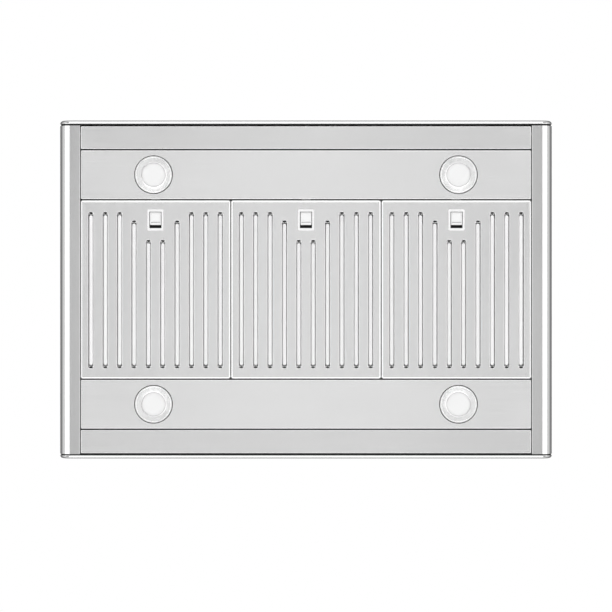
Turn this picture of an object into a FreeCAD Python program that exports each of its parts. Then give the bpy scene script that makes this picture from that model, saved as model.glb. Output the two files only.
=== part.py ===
import FreeCAD, Part
import math
import os
import Sketcher

# Under cabinet range hood, seen in use from below. Millimetres.
# X runs left to right, -Y is the front, +Z is up. The origin is the middle of the
# cabinet screw pattern on the top face, so the casing hangs below z = 0.

doc = FreeCAD.newDocument("under_cabinet_hood")
sheet = doc.addObject("Spreadsheet::Sheet", "Sizes")
os.makedirs("parts", exist_ok=True)
finished = []


class Size:
    """A length in millimetres, with the sheet expression that gives it."""

    def __init__(self, value, text):
        self.value = float(value)
        self.text = text

    def joined(self, sign, other, value):
        return Size(value, "(" + self.text + " " + sign + " " + other.text + ")")

    def __add__(self, other):
        other = as_size(other)
        return self.joined("+", other, self.value + other.value)

    def __sub__(self, other):
        other = as_size(other)
        return self.joined("-", other, self.value - other.value)

    def __mul__(self, other):
        other = as_size(other)
        return self.joined("*", other, self.value * other.value)

    def __truediv__(self, other):
        other = as_size(other)
        return self.joined("/", other, self.value / other.value)

    def __radd__(self, other):
        return as_size(other) + self

    def __rsub__(self, other):
        return as_size(other) - self

    def __rmul__(self, other):
        return as_size(other) * self

    def __neg__(self):
        return as_size(0) - self


def as_size(value):
    """A plain number as a Size, and a Size as it is."""
    if isinstance(value, Size):
        return value
    return Size(value, repr(float(value)))


def size(alias, value):
    """Writes one driving dimension to the sheet and gives it back as a Size."""
    row = len(rows) + 1
    rows.append(alias)
    sheet.set("A" + str(row), alias)
    sheet.set("B" + str(row), str(value))
    sheet.setAlias("B" + str(row), alias)
    return Size(value, "Sizes." + alias)


rows = []

# Casing
width = size("overall_width", 759)
depth = size("overall_depth", 520)
height = size("casing_height", 178)
sheet_metal = size("sheet_metal", 1.2)
corner = size("lower_corner_radius", 17)
end_depth = size("end_panel_depth", 4)
gasket = size("gasket_thickness", 3)
gasket_band = size("gasket_band", 12)
lip = size("side_lip_width", 32.3)
lip_rise = size("side_lip_rise", 10)
tray_rise = size("tray_rise", 8)
strip_depth = size("strip_depth", 38)
strip_recess = size("strip_recess", 0.8)
panel_recess = size("light_panel_recess", 2)

# Filters
filter_bay = size("filter_bay_length", 276)
filter_gap = size("filter_gap", 0.4)
filter_height = size("filter_height", 12)
filter_sheet = size("filter_sheet", 1)
filter_recess = size("filter_recess", 1.5)
filter_fold = size("filter_rear_fold_radius", 4)
slot_pitch = size("slot_pitch", 22.1)
slot_width = size("slot_width", 7.6)
slot_rear = size("slot_rear_margin", 16.5)
slot_front = size("slot_front_margin", 18.5)
slot_step = size("slot_step_beside_latch", 13)
slot_long_step = size("slot_step_behind_latch", 43)
trough_width = size("trough_width", 15)
trough_rise = size("trough_rise", 5.4)
bar_width = size("baffle_bar_width", 9)
rod_radius = size("hinge_rod_radius", 1.5)
running_fit = size("running_fit", 0.06)

# Latches
latch_wide = size("latch_plate_width", 25)
latch_long = size("latch_plate_length", 33)
latch_plate = size("latch_plate_thickness", 1.1)
latch_margin = size("latch_front_margin", 14.2)
latch_window = size("latch_window_width", 18.6)
latch_end = size("latch_window_end_margin", 3.9)
latch_wall = size("latch_wall", 1.4)
latch_gap = size("latch_side_gap", 0.1)
latch_travel = size("latch_travel", 4)
tongue_bite = size("latch_tongue_bite", 1.6)
tongue_wide = size("latch_tongue_width", 14)
tongue_thick = size("latch_tongue_thickness", 1.8)
tongue_gap = size("latch_tongue_gap", 0.3)
grip_lip = size("latch_grip_lip", 3.4)
pad_inset = size("latch_pad_inset", 0.5)
pad_rim = size("latch_pad_rim", 1.2)

# Lights
light_x = size("light_from_middle", 234.5)
light_radius = size("light_trim_radius", 29.7)
light_step = size("light_trim_step_radius", 25)
lens_radius = size("light_lens_radius", 19.2)
light_can = size("light_can_radius", 26.5)
light_hole_gap = size("light_hole_gap", 0.4)
light_can_height = size("light_can_height", 24)
can_core = size("light_can_core_radius", 19)
fin_count = 3
trim_drop = size("light_trim_drop", 1.6)
lens_seat = size("light_lens_seat", 1)
lens_thick = size("light_lens_thickness", 2)

# Blower
blower_y = size("blower_shaft_from_middle", -28)
blower_z = size("blower_shaft_below_top", 86)
blower_width = size("blower_housing_width", 150)
scroll_start = size("scroll_start_radius", 58)
scroll_growth = size("scroll_growth", 6)
flange_width = size("outlet_flange_width", 12)
wheel_radius = size("wheel_radius", 52)
wheel_width = size("wheel_width", 132)
wheel_ring = size("wheel_ring_thickness", 1.5)
blade_depth = size("blade_depth", 9)
blade_thick = size("blade_thickness", 0.8)
blade_inset = size("blade_inset_from_ring", 0.5)
blade_count = 28
inlet_radius = size("inlet_radius", 42)
inlet_ring = size("inlet_ring_thickness", 1.2)
inlet_reach = size("inlet_ring_reach", 5)
shaft_radius = size("shaft_radius", 4)
hub_radius = size("hub_radius", 10)
motor_radius = size("motor_radius", 38)
motor_length = size("motor_length", 58)
motor_cap_radius = size("motor_cap_radius", 30)
motor_cap = size("motor_cap_length", 11.6)
motor_gap = size("motor_from_housing", 22)
shaft_past_motor = size("shaft_past_motor", 3)
shaft_past_hub = size("shaft_past_hub", 6)
strap_thick = size("motor_strap_thickness", 2.5)
strap_width = size("motor_strap_width", 12)
bracket_radius = size("motor_bracket_radius", 52)

# Duct collar and damper
duct_radius = size("duct_radius", 75)
duct_height = size("duct_height", 46)
duct_plate = size("duct_plate_side", 178)
flap_level = size("flap_level", 24)
flap_thick = size("flap_thickness", 0.8)
flap_gap = size("flap_edge_gap", 1)
pin_radius = size("damper_pin_radius", 1.5)
knuckle_radius = size("flap_knuckle_radius", 2.8)
knuckle_long = size("flap_knuckle_length", 20)
knuckle_inner = size("flap_knuckle_from_middle", 5)
knuckle_outer = size("flap_knuckle_reach", 55)
flap_slot = size("flap_from_knuckle", 0.4)
flap_tab = size("flap_tab_overlap", 1)
bead_gap = size("bead_below_flap", 0.2)
bead_reach = size("bead_reach", 3)
bead_thick = size("bead_thickness", 1)

# Controls
button_radius = size("button_radius", 6)
button_count = 5
button_pitch = size("button_pitch", 24)
button_length = size("button_length", 9.5)
button_flange = size("button_flange_radius", 7.4)
button_flange_thick = size("button_flange_thickness", 1.2)
button_flange_gap = size("button_flange_gap", 0.1)
button_level = size("buttons_above_bottom", 42)
switch_gap = size("switch_from_buttons", 2.6)
switch_depth = size("switch_depth", 14)
switch_height = size("switch_height", 24)
switch_leg = size("switch_leg_width", 8)
switch_end = size("switch_end_past_buttons", 14)
board_thick = size("board_thickness", 1.6)
board_height = size("board_height", 38.4)

# Wiring box and fixings
box_long = size("wiring_box_length", 110)
box_wide = size("wiring_box_width", 82)
box_tall = size("wiring_box_height", 48)
box_side = size("wiring_box_from_side", 40)
box_front = size("wiring_box_from_front", 24)
entry_radius = size("power_entry_radius", 11.1)
entry_front = size("power_entry_from_box_front", 24.6)
block_edge = size("block_from_box_edge", 6)
terminal_long = size("terminal_block_length", 38)
terminal_wide = size("terminal_block_width", 18)
terminal_tall = size("terminal_block_height", 18)
driver_long = size("light_driver_length", 44)
driver_wide = size("light_driver_width", 24)
driver_tall = size("light_driver_height", 12)
driver_front = size("light_driver_from_box_front", 50)
can_radius = size("capacitor_radius", 16)
can_long = size("capacitor_length", 54)
can_gap = size("capacitor_from_box_wall", 1)
screw_x = size("cabinet_screw_spacing_x", 640)
screw_y = size("cabinet_screw_spacing_y", 400)
screw_hole = size("cabinet_screw_hole_radius", 3.5)
screw_radius = size("screw_radius", 2)
screw_head = size("screw_head_radius", 3.8)
screw_rise = size("screw_head_height", 2.2)
screw_length = size("screw_length", 6)
collar_screw_edge = size("collar_screw_from_plate_edge", 7)

# Places worked out from the sizes
side = width / 2
front = -(depth / 2)
rear = depth / 2
casing_front = front + end_depth + gasket
casing_rear = rear - end_depth - gasket
bottom = -height
mouth = side - lip
strip_face = bottom + strip_recess
panel_face = bottom + panel_recess
panel_top = panel_face + tray_rise
filter_face = bottom + filter_recess
filter_top = filter_face + filter_height
bay = filter_bay / 2
filter_pitch = (mouth * 2) / 3
filter_half = (filter_pitch - filter_gap) / 2
filter_front = -(bay - filter_gap)
filter_rear = bay - filter_gap
hinge_y = filter_rear - filter_fold
hinge_z = filter_face + filter_fold
light_y = (bay + (casing_rear - strip_depth)) / 2
shaft_y = blower_y
shaft_z = -blower_z
outlet_width = scroll_start + scroll_growth * 3
outlet_front = shaft_y
outlet_rear = shaft_y + outlet_width
duct_y = shaft_y + outlet_width / 2
flap_y = duct_y
pin_reach = duct_radius - sheet_metal - running_fit


def body(label):
    """A new body for one piece. Its label names its file."""
    piece = doc.addObject("PartDesign::Body", label)
    finished.append(piece)
    return piece


def place(piece, x, y, z):
    """Moves a body to its place with expressions."""
    for letter, value in zip("xyz", (x, y, z)):
        piece.setExpression("Placement.Base." + letter, as_size(value).text)


def rounded(corners):
    """Steps round an axis-aligned outline. A corner's third number rounds it."""
    steps = []
    count = len(corners)
    for i, here in enumerate(corners):
        u, v = as_size(here[0]), as_size(here[1])
        if len(here) == 2:
            steps.append((u, v, None, None))
            continue
        radius = as_size(here[2])
        before = corners[i - 1]
        after = corners[(i + 1) % count]
        came = direction(before, here)
        goes = direction(here, after)
        left = came[0] * goes[1] - came[1] * goes[0] > 0
        steps.append((u - came[0] * radius, v - came[1] * radius, radius, left))
        steps.append((u + goes[0] * radius, v + goes[1] * radius, None, None))
    return steps


def direction(a, b):
    """The unit step from one corner to the next along its axis."""
    du = as_size(b[0]).value - as_size(a[0]).value
    dv = as_size(b[1]).value - as_size(a[1]).value
    if abs(du) > abs(dv):
        return (math.copysign(1, du), 0)
    return (0, math.copysign(1, dv))


def straight(corners):
    """Steps of an outline with sharp corners and any slopes."""
    return [(as_size(u), as_size(v), None, None) for u, v in corners]


def rectangle(u0, u1, v0, v1):
    """Steps of an upright rectangle."""
    return straight([(u0, v0), (u1, v0), (u1, v1), (u0, v1)])


def arc_between(start, end, radius, left):
    """The short arc between two points, turning left or right on its way."""
    run = end - start
    half = run.Length / 2
    rise = math.sqrt(max(radius * radius - half * half, 0))
    normal = FreeCAD.Vector(-run.y, run.x, 0)
    normal.normalize()
    centre = (start + end) / 2 + normal * (rise if left else -rise)
    a0 = math.atan2(start.y - centre.y, start.x - centre.x)
    a1 = math.atan2(end.y - centre.y, end.x - centre.x)
    circle = Part.Circle(centre, FreeCAD.Vector(0, 0, 1), radius)
    if left:
        return Part.ArcOfCircle(circle, a0, a1 if a1 > a0 else a1 + 2 * math.pi)
    return Part.ArcOfCircle(circle, a1, a0 if a0 > a1 else a0 + 2 * math.pi)


def draw_loop(drawing, steps):
    """Draws one closed loop and binds every corner and radius to the sheet."""
    spots = [FreeCAD.Vector(s[0].value, s[1].value, 0) for s in steps]
    edges = []
    for i, step in enumerate(steps):
        start, end = spots[i], spots[(i + 1) % len(steps)]
        if (end - start).Length < 1e-6:
            continue
        if step[2] is None:
            shape, ends = Part.LineSegment(start, end), (1, 2)
        else:
            shape = arc_between(start, end, step[2].value, step[3])
            ends = (1, 2) if step[3] else (2, 1)
        edges.append((drawing.addGeometry(shape, False), ends, step))
    rules = []
    values = []
    for i, (index, ends, step) in enumerate(edges):
        after = edges[(i + 1) % len(edges)]
        rules.append(Sketcher.Constraint("Coincident", index, ends[1], after[0], after[1][0]))
        values.append(None)
        for kind, value in (("DistanceX", step[0]), ("DistanceY", step[1])):
            rules.append(Sketcher.Constraint(kind, -1, 1, index, ends[0], value.value))
            values.append(value)
        if step[2] is not None:
            rules.append(Sketcher.Constraint("Radius", index, step[2].value))
            values.append(step[2])
    bind_rules(drawing, rules, values)


def draw_circle(drawing, u, v, radius):
    """Draws one circle and binds its centre and radius to the sheet."""
    u, v, radius = as_size(u), as_size(v), as_size(radius)
    centre = FreeCAD.Vector(u.value, v.value, 0)
    shape = Part.Circle(centre, FreeCAD.Vector(0, 0, 1), radius.value)
    index = drawing.addGeometry(shape, False)
    rules = [
        Sketcher.Constraint("DistanceX", -1, 1, index, 3, u.value),
        Sketcher.Constraint("DistanceY", -1, 1, index, 3, v.value),
        Sketcher.Constraint("Radius", index, radius.value),
    ]
    bind_rules(drawing, rules, [u, v, radius])


def bind_rules(drawing, rules, values):
    """Adds constraints together, then gives each its expression."""
    first = drawing.ConstraintCount
    drawing.addConstraint(rules)
    for i, value in enumerate(values):
        if value is not None:
            drawing.setExpression("Constraints[" + str(first + i) + "]", value.text)


PLANES = {"X": ("YZ_Plane", 1), "Y": ("XZ_Plane", -1), "Z": ("XY_Plane", 1)}


def drawing_on(piece, axis, level):
    """A sketch across an axis at a level on it, on the body's own origin plane."""
    role, sign = PLANES[axis]
    plane = next(f for f in piece.Origin.OriginFeatures if f.Role == role)
    drawing = piece.newObject("Sketcher::SketchObject", piece.Label + "_sketch")
    drawing.AttachmentSupport = [(plane, "")]
    drawing.MapMode = "FlatFace"
    drawing.setExpression("AttachmentOffset.Base.z", (as_size(level) * sign).text)
    return drawing


def draw(drawing, loops):
    """Draws loops: a tuple of three is a circle and a list is an outline."""
    for loop in loops:
        if isinstance(loop, tuple):
            draw_circle(drawing, *loop)
        else:
            draw_loop(drawing, loop)


def prism(piece, axis, low, high, *loops):
    """Adds the loops' prism between two levels on an axis."""
    low, high = as_size(low), as_size(high)
    drawing = drawing_on(piece, axis, high if axis == "Y" else low)
    draw(drawing, loops)
    pad = piece.newObject("PartDesign::Pad", piece.Label + "_pad")
    pad.Profile = drawing
    pad.setExpression("Length", (high - low).text)
    drawing.Visibility = False
    doc.recompute()
    return pad


def cut(piece, axis, low, high, *loops):
    """Cuts the loops' prism between two levels on an axis."""
    low, high = as_size(low), as_size(high)
    drawing = drawing_on(piece, axis, low if axis == "Y" else high)
    draw(drawing, loops)
    pocket = piece.newObject("PartDesign::Pocket", piece.Label + "_pocket")
    pocket.Profile = drawing
    pocket.setExpression("Length", (high - low).text)
    drawing.Visibility = False
    doc.recompute()
    return pocket


def turned(piece, axis, *loops):
    """Turns outlines, given as places along and out from an axis, about it."""
    drawing = drawing_on(piece, "Y", 0)
    draw(drawing, loops)
    turn = piece.newObject("PartDesign::Revolution", piece.Label + "_turn")
    turn.Profile = drawing
    turn.ReferenceAxis = (drawing, ["H_Axis" if axis == "X" else "V_Axis"])
    turn.Angle = 360
    drawing.Visibility = False
    doc.recompute()
    return turn


def around(piece, feature, count):
    """Repeats a feature about the body's own X axis."""
    pattern = piece.newObject("PartDesign::PolarPattern", piece.Label + "_round")
    pattern.Originals = [feature]
    pattern.Axis = (next(f for f in piece.Origin.OriginFeatures if f.Role == "X_Axis"), [""])
    pattern.Angle = 360
    pattern.Occurrences = count
    piece.Tip = pattern
    doc.recompute()
    return pattern


def casing_outline(inset):
    """The casing's end profile, square at the top and rounded at the bottom."""
    return rounded([
        (-side + inset, -inset),
        (-side + inset, bottom + inset, corner - inset),
        (side - inset, bottom + inset, corner - inset),
        (side - inset, -inset),
    ])


# %% Casing

def outer_shell():
    """The folded wrap: top, two sides, rounded lower corners and turned-up lips."""
    piece = body("outer_shell")
    inner = corner - sheet_metal
    rise = bottom + lip_rise
    floor = bottom + sheet_metal
    wall = side - sheet_metal
    fold = mouth + sheet_metal
    prism(piece, "Y", casing_front, casing_rear, rounded([
        (-side, 0),
        (-side, bottom, corner),
        (-mouth, bottom),
        (-mouth, rise),
        (-fold, rise),
        (-fold, floor),
        (-wall, floor, inner),
        (-wall, -sheet_metal),
        (wall, -sheet_metal),
        (wall, floor, inner),
        (fold, floor),
        (fold, rise),
        (mouth, rise),
        (mouth, bottom),
        (side, bottom, corner),
        (side, 0),
    ]))
    outlet = blower_width / 2 - sheet_metal
    holes = [rectangle(-outlet, outlet, outlet_front + sheet_metal, outlet_rear - sheet_metal)]
    for sx in (-1, 1):
        for sy in (-1, 1):
            holes.append((sx * screw_x / 2, sy * screw_y / 2, screw_hole))
    holes.append((entry_x, entry_y, entry_radius))
    for x, y in collar_screw_places:
        holes.append((x, y, screw_radius + running_fit))
    cut(piece, "Z", -sheet_metal, 0, *holes)
    return piece


def end_panel(label, outside, inwards):
    """A folded end panel: a face with a flange all round that sits on its gasket."""
    piece = body(label)
    inside = outside + inwards * end_depth
    face = outside + inwards * sheet_metal
    low, high = (outside, inside) if inwards > 0 else (inside, outside)
    prism(piece, "Y", low, high, casing_outline(0))
    low, high = (face, inside) if inwards > 0 else (inside, face)
    cut(piece, "Y", low, high, casing_outline(sheet_metal))
    return piece


def front_panel():
    """The front panel, with a row of holes for the push buttons."""
    piece = end_panel("front_panel", front, 1)
    holes = [(x, button_z, button_radius + running_fit) for x in button_places]
    cut(piece, "Y", front, front + sheet_metal, *holes)


def gasket_frame(label, low, high):
    """The black frame between an end panel and the shell."""
    piece = body(label)
    inset = gasket_band
    window = rectangle(-side + inset, side - inset, bottom + inset, -inset)
    prism(piece, "Y", low, high, casing_outline(0), window)


def tray(label, low, high, face):
    """A folded tray across the mouth of the casing, open at the top."""
    piece = body(label)
    top = face + tray_rise
    t = sheet_metal
    prism(piece, "Z", face, top, rectangle(-mouth, mouth, low, high))
    cut(piece, "Z", face + t, top, rectangle(-mouth + t, mouth - t, low + t, high - t))
    return piece


def light_panel(label, low, high, y):
    """A tray that carries two lights."""
    piece = tray(label, low, high, panel_face)
    hole = light_can + light_hole_gap
    cut(piece, "Z", panel_face, panel_face + sheet_metal, (-light_x, y, hole), (light_x, y, hole))


def hinge_rod():
    """The rod along the rear of the filter bay that the filters swing on."""
    piece = body("hinge_rod")
    place(piece, 0, hinge_y, hinge_z)
    prism(piece, "X", -mouth, mouth, (0, 0, rod_radius))


# %% Filters

SLOT_ROWS = 5


def slot_places():
    """Each slot's offset from the filter's middle, and where its front end is."""
    places = []
    for i in range(SLOT_ROWS):
        offset = slot_pitch * (i + 0.5)
        front_end = filter_front + slot_front
        if i == 0:
            front_end = front_end + slot_long_step
        if i == 1:
            front_end = front_end + slot_step
        places.append((offset, front_end))
        places.append((-offset, front_end))
    return places


def filter_pieces(name, x):
    """One baffle filter: face tray, rear troughs, latch plate and latch slider."""
    half = filter_half
    face = body("filter_face_" + name)
    place(face, x, 0, 0)
    fold = filter_fold
    inner = fold - filter_sheet
    s = filter_sheet
    prism(face, "X", -half, half, rounded([
        (filter_front, filter_face),
        (filter_rear, filter_face, fold),
        (filter_rear, filter_top),
        (filter_front, filter_top),
    ]))
    cut(face, "X", -half + s, half - s, rounded([
        (filter_front + s, filter_face + s),
        (filter_rear - s, filter_face + s, inner),
        (filter_rear - s, filter_top),
        (filter_front + s, filter_top),
    ]))
    slots = []
    reach = slot_width / 2
    for offset, front_end in slot_places():
        slots.append(rounded([
            (offset - reach, front_end, reach),
            (offset + reach, front_end, reach),
            (offset + reach, filter_rear - slot_rear, reach),
            (offset - reach, filter_rear - slot_rear, reach),
        ]))
    cut(face, "Z", filter_face, filter_face + s, *slots)
    cut(face, "X", -half, half, (hinge_y, hinge_z, rod_radius + running_fit))

    # The latch sits in a window in the face, and its tongue leaves by a notch.
    plate_front = filter_front + latch_margin
    plate_rear = plate_front + latch_long
    window_front = plate_front + latch_end
    window_rear = plate_rear - latch_end
    window = latch_window / 2
    wall = window + latch_wall
    gap = latch_gap
    cut(face, "Z", filter_face, filter_face + s, rectangle(
        -wall - gap, wall + gap, window_front - latch_wall - gap, window_rear + latch_wall + gap))
    tongue_low = panel_top + tongue_gap
    tongue_high = tongue_low + tongue_thick
    cut(face, "Y", filter_front, filter_front + s, rectangle(
        -tongue_wide / 2 - tongue_gap, tongue_wide / 2 + tongue_gap,
        tongue_low - tongue_gap, tongue_high + tongue_gap))

    troughs = body("filter_baffles_" + name)
    place(troughs, x, 0, 0)
    trough = trough_width / 2
    low = filter_face + s + trough_rise
    for bar_front in (filter_front + s, filter_rear - s - bar_width):
        prism(troughs, "Z", low + s, low + s * 2, rectangle(
            -half + s, half - s, bar_front, bar_front + bar_width))
    for offset, front_end in slot_places():
        beam_front = filter_front + s
        strip = rectangle(offset - trough, offset + trough, beam_front, filter_rear - s)
        if abs(offset.value) < slot_pitch.value:
            strip = rectangle(
                offset - trough, offset + trough,
                plate_rear + latch_wall, filter_rear - s)
        prism(troughs, "Z", low, low + s, strip)

    plate = body("latch_plate_" + name)
    place(plate, x, 0, 0)
    prism(plate, "Z", filter_face - latch_plate, filter_face, rectangle(
        -latch_wide / 2, latch_wide / 2, plate_front, plate_rear))
    prism(plate, "Z", filter_face, tongue_low - tongue_gap, rectangle(
        -wall, wall, window_front - latch_wall, window_rear + latch_wall))
    cut(plate, "Z", filter_face - latch_plate, tongue_low - tongue_gap, rectangle(
        -window, window, window_front, window_rear))

    slider = body("latch_slider_" + name)
    place(slider, x, 0, 0)
    pad_face = filter_face - latch_plate + pad_inset
    pad_rear = window_rear - latch_travel - gap
    prism(slider, "Z", pad_face, tongue_high, rectangle(
        -window + gap, window - gap, window_front + gap, pad_rear))
    cut(slider, "Z", pad_face, pad_face + pad_rim, rectangle(
        -window + gap + pad_rim, window - gap - pad_rim,
        window_front + gap + pad_rim, pad_rear - grip_lip))
    prism(slider, "Z", tongue_low, tongue_high, rectangle(
        -tongue_wide / 2, tongue_wide / 2,
        -bay - sheet_metal - tongue_bite, window_front + gap + latch_wall))


# %% Lights

def light_pieces(number, x, y):
    """One recessed light: a trim ring, a lens and a finned can above it."""
    seat = trim_drop + lens_seat
    back = seat + lens_thick
    trim = body("light_trim_" + str(number))
    place(trim, x, y, panel_face)
    turned(trim, "Z", straight([
        (light_radius, 0),
        (light_radius, -trim_drop / 2),
        (light_radius - trim_drop / 2, -trim_drop),
        (light_step, -trim_drop),
        (lens_radius, trim_drop),
        (lens_radius - lens_seat, trim_drop),
        (lens_radius - lens_seat, seat),
        (light_step, seat),
        (light_step, 0),
    ]))
    lens = body("light_lens_" + str(number))
    place(lens, x, y, panel_face)
    prism(lens, "Z", seat, back, (0, 0, lens_radius))
    can = body("light_can_" + str(number))
    place(can, x, y, panel_face)
    base = back + sheet_metal
    fin = (light_can_height - base) / (fin_count * 2)
    profile = [(light_step, 0), (light_can, 0), (light_can, base)]
    for i in range(fin_count):
        groove = base + fin * (2 * i)
        profile.append((can_core, groove))
        profile.append((can_core, groove + fin))
        profile.append((light_can, groove + fin))
        profile.append((light_can, groove + fin * 2))
    profile += [(0, light_can_height), (0, back), (light_step, back)]
    turned(can, "Z", straight(profile))


# %% Blower

def scroll(inset):
    """The blower housing's outline across the shaft: three growing arcs and an outlet."""
    first = scroll_start - inset
    second = first + scroll_growth
    third = second + scroll_growth
    g = scroll_growth
    ceiling = blower_z - sheet_metal + inset
    return [
        (inset, ceiling, None, None),
        (inset, first, first, True),
        (-first, as_size(0), second, True),
        (g, -second, third, True),
        (g + third, g, None, None),
        (g + third, ceiling, None, None),
    ]


def blower_housing():
    """The scroll housing with an outlet flange under the top sheet."""
    piece = body("blower_housing")
    place(piece, 0, shaft_y, shaft_z)
    half = blower_width / 2
    t = sheet_metal
    prism(piece, "X", -half, half, scroll(as_size(0)))
    top = blower_z - t
    prism(piece, "Z", top - t, top, rectangle(
        -half - flange_width, half + flange_width,
        -flange_width, outlet_width + flange_width))
    cut(piece, "X", -half + t, half - t, scroll(t))
    cut(piece, "X", -half, half, (0, 0, inlet_radius + inlet_ring))


def inlet_ring_piece(label, sign):
    """A flared ring that leads air into the wheel."""
    piece = body(label)
    place(piece, 0, shaft_y, shaft_z)
    half = blower_width / 2
    inner = inlet_radius
    outer = inlet_radius + inlet_ring
    turned(piece, "X", straight([
        (sign * (half - inlet_reach), inner),
        (sign * (half + inlet_ring), inner),
        (sign * (half + inlet_ring), outer + inlet_reach),
        (sign * half, outer + inlet_reach),
        (sign * half, outer),
        (sign * (half - inlet_reach), outer),
    ]))


def blower_wheel():
    """The double-inlet wheel: a middle disc on a hub, blades and two end rings."""
    piece = body("blower_wheel")
    place(piece, 0, shaft_y, shaft_z)
    half = wheel_width / 2
    bore = shaft_radius
    turned(piece, "X", straight([
        (-hub_radius, bore),
        (hub_radius, bore),
        (hub_radius, hub_radius),
        (wheel_ring / 2, hub_radius),
        (wheel_ring / 2, wheel_radius),
        (-wheel_ring / 2, wheel_radius),
        (-wheel_ring / 2, hub_radius),
        (-hub_radius, hub_radius),
    ]))
    blade = prism(piece, "X", -half, half, rectangle(
        -blade_thick / 2, blade_thick / 2,
        wheel_radius - blade_depth + blade_inset, wheel_radius - blade_inset))
    around(piece, blade, blade_count)
    for sign in (-1, 1):
        level = half * sign
        low, high = (level - wheel_ring, level) if sign > 0 else (level, level + wheel_ring)
        prism(piece, "X", low, high, (0, 0, wheel_radius), (0, 0, wheel_radius - blade_depth))


def motor_shaft():
    """The shaft from the motor through the wheel."""
    piece = body("motor_shaft")
    place(piece, 0, shaft_y, shaft_z)
    low = -blower_width / 2 - motor_gap - motor_length - shaft_past_motor
    prism(piece, "X", low, hub_radius + shaft_past_hub, (0, 0, shaft_radius))


def motor_body():
    """The motor, with a bore for its shaft."""
    piece = body("motor_body")
    place(piece, 0, shaft_y, shaft_z)
    high = -blower_width / 2 - motor_gap
    low = high - motor_length
    bore = shaft_radius + running_fit
    step = motor_cap_radius
    cap = motor_cap
    turned(piece, "X", straight([
        (low, bore),
        (low, step),
        (low + cap, step),
        (low + cap, motor_radius),
        (high - cap, motor_radius),
        (high - cap, step),
        (high, step),
        (high, bore),
    ]))


def motor_bracket():
    """A strap round the motor with three legs to the housing's side."""
    piece = body("motor_bracket")
    place(piece, 0, shaft_y, shaft_z)
    high = -blower_width / 2 - motor_gap - motor_cap
    low = high - strap_width
    inner = motor_radius + running_fit
    outer = inner + strap_thick
    prism(piece, "X", low, high, (0, 0, outer), (0, 0, inner))
    leg = prism(piece, "X", low, high, rectangle(
        -strap_width / 2, strap_width / 2, outer - strap_thick / 2, bracket_radius + strap_thick))
    strut = prism(piece, "X", low, -blower_width / 2, rectangle(
        -strap_width / 2, strap_width / 2, bracket_radius, bracket_radius + strap_thick))
    around(piece, leg, 3).Originals = [leg, strut]
    doc.recompute()


# %% Duct collar and damper

def collar_plate():
    """The flat plate on the top sheet that the collar stands on."""
    piece = body("collar_plate")
    place(piece, 0, duct_y, 0)
    half = duct_plate / 2
    clear = screw_radius + running_fit
    holes = [(x, y - duct_y, clear) for x, y in collar_screw_places]
    prism(piece, "Z", 0, sheet_metal, rectangle(-half, half, -half, half),
          (0, 0, duct_radius - sheet_metal), *holes)


def duct_collar():
    """The round collar on its plate, with a bead that the flaps rest on."""
    piece = body("duct_collar")
    place(piece, 0, duct_y, 0)
    inner = duct_radius - sheet_metal
    ring = flap_level - flap_thick / 2 - bead_gap
    turned(piece, "Z", straight([
        (inner, sheet_metal),
        (duct_radius, sheet_metal),
        (duct_radius, duct_height),
        (inner, duct_height),
        (inner, ring),
        (inner - bead_reach, ring),
        (inner - bead_reach, ring - bead_thick),
        (inner, ring - bead_thick),
    ]))
    cut(piece, "X", -pin_reach, pin_reach, (0, flap_level, pin_radius + running_fit))


def damper_pin():
    """The pin across the inside of the collar that both flaps turn on."""
    piece = body("damper_pin")
    place(piece, 0, flap_y, flap_level)
    prism(piece, "X", -pin_reach, pin_reach, (0, 0, pin_radius))


def damper_flap(label, sign, knuckles):
    """A half-round flap with its knuckles on the pin."""
    piece = body(label)
    place(piece, 0, flap_y, flap_level)
    radius = duct_radius - sheet_metal - flap_gap
    start = knuckle_radius + flap_slot
    reach = (radius.value ** 2 - start.value ** 2) ** 0.5
    chord = Size(reach, "sqrt(" + (radius * radius - start * start).text + ")")
    flap = [
        (-sign * chord, sign * start, radius, False),
        (as_size(0), sign * radius, radius, False),
        (sign * chord, sign * start, None, None),
    ]
    prism(piece, "Z", -flap_thick / 2, flap_thick / 2, flap)
    for low, high in knuckles:
        prism(piece, "X", low, high, (0, 0, knuckle_radius))
        near = sign * (knuckle_radius - flap_thick)
        far = sign * (start + flap_tab)
        low_y, high_y = (near, far) if sign > 0 else (far, near)
        prism(piece, "X", low, high, rectangle(low_y, high_y, -flap_thick / 2, flap_thick / 2))
        cut(piece, "X", low, high, (0, 0, pin_radius + running_fit))


# %% Controls

def push_button(number, x):
    """One push button with a flange that keeps it behind the panel."""
    piece = body("push_button_" + str(number))
    prism(piece, "Y", front, front + button_length, (x, button_z, button_radius))
    back = front + sheet_metal + button_flange_gap
    prism(piece, "Y", back, back + button_flange_thick, (x, button_z, button_flange))


def switch_block():
    """The switch row behind the buttons, on two legs off the front panel."""
    piece = body("switch_block")
    half = button_pitch * button_count / 2 + switch_end
    low = front + button_length + switch_gap
    z0 = button_z - switch_height / 2
    z1 = button_z + switch_height / 2
    prism(piece, "Y", low, low + switch_depth, rectangle(-half, half, z0, z1))
    for x0, x1 in ((-half, -half + switch_leg), (half - switch_leg, half)):
        prism(piece, "Y", front + sheet_metal, low, rectangle(x0, x1, z0, z1))


def control_board():
    """The board on the back of the switch row."""
    piece = body("control_board")
    half = button_pitch * button_count / 2
    low = front + button_length + switch_gap + switch_depth
    prism(piece, "Y", low, low + board_thick, rectangle(
        -half, half, button_z - board_height / 2, button_z + board_height / 2))


# %% Wiring box and fixings

def wiring_box():
    """Four walls under the top sheet, round the supply entry."""
    piece = body("wiring_box")
    t = sheet_metal
    prism(piece, "Z", -t - box_tall, -t,
          rectangle(box_x0, box_x1, box_y0, box_y1),
          rectangle(box_x0 + t, box_x1 - t, box_y0 + t, box_y1 - t))


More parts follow.
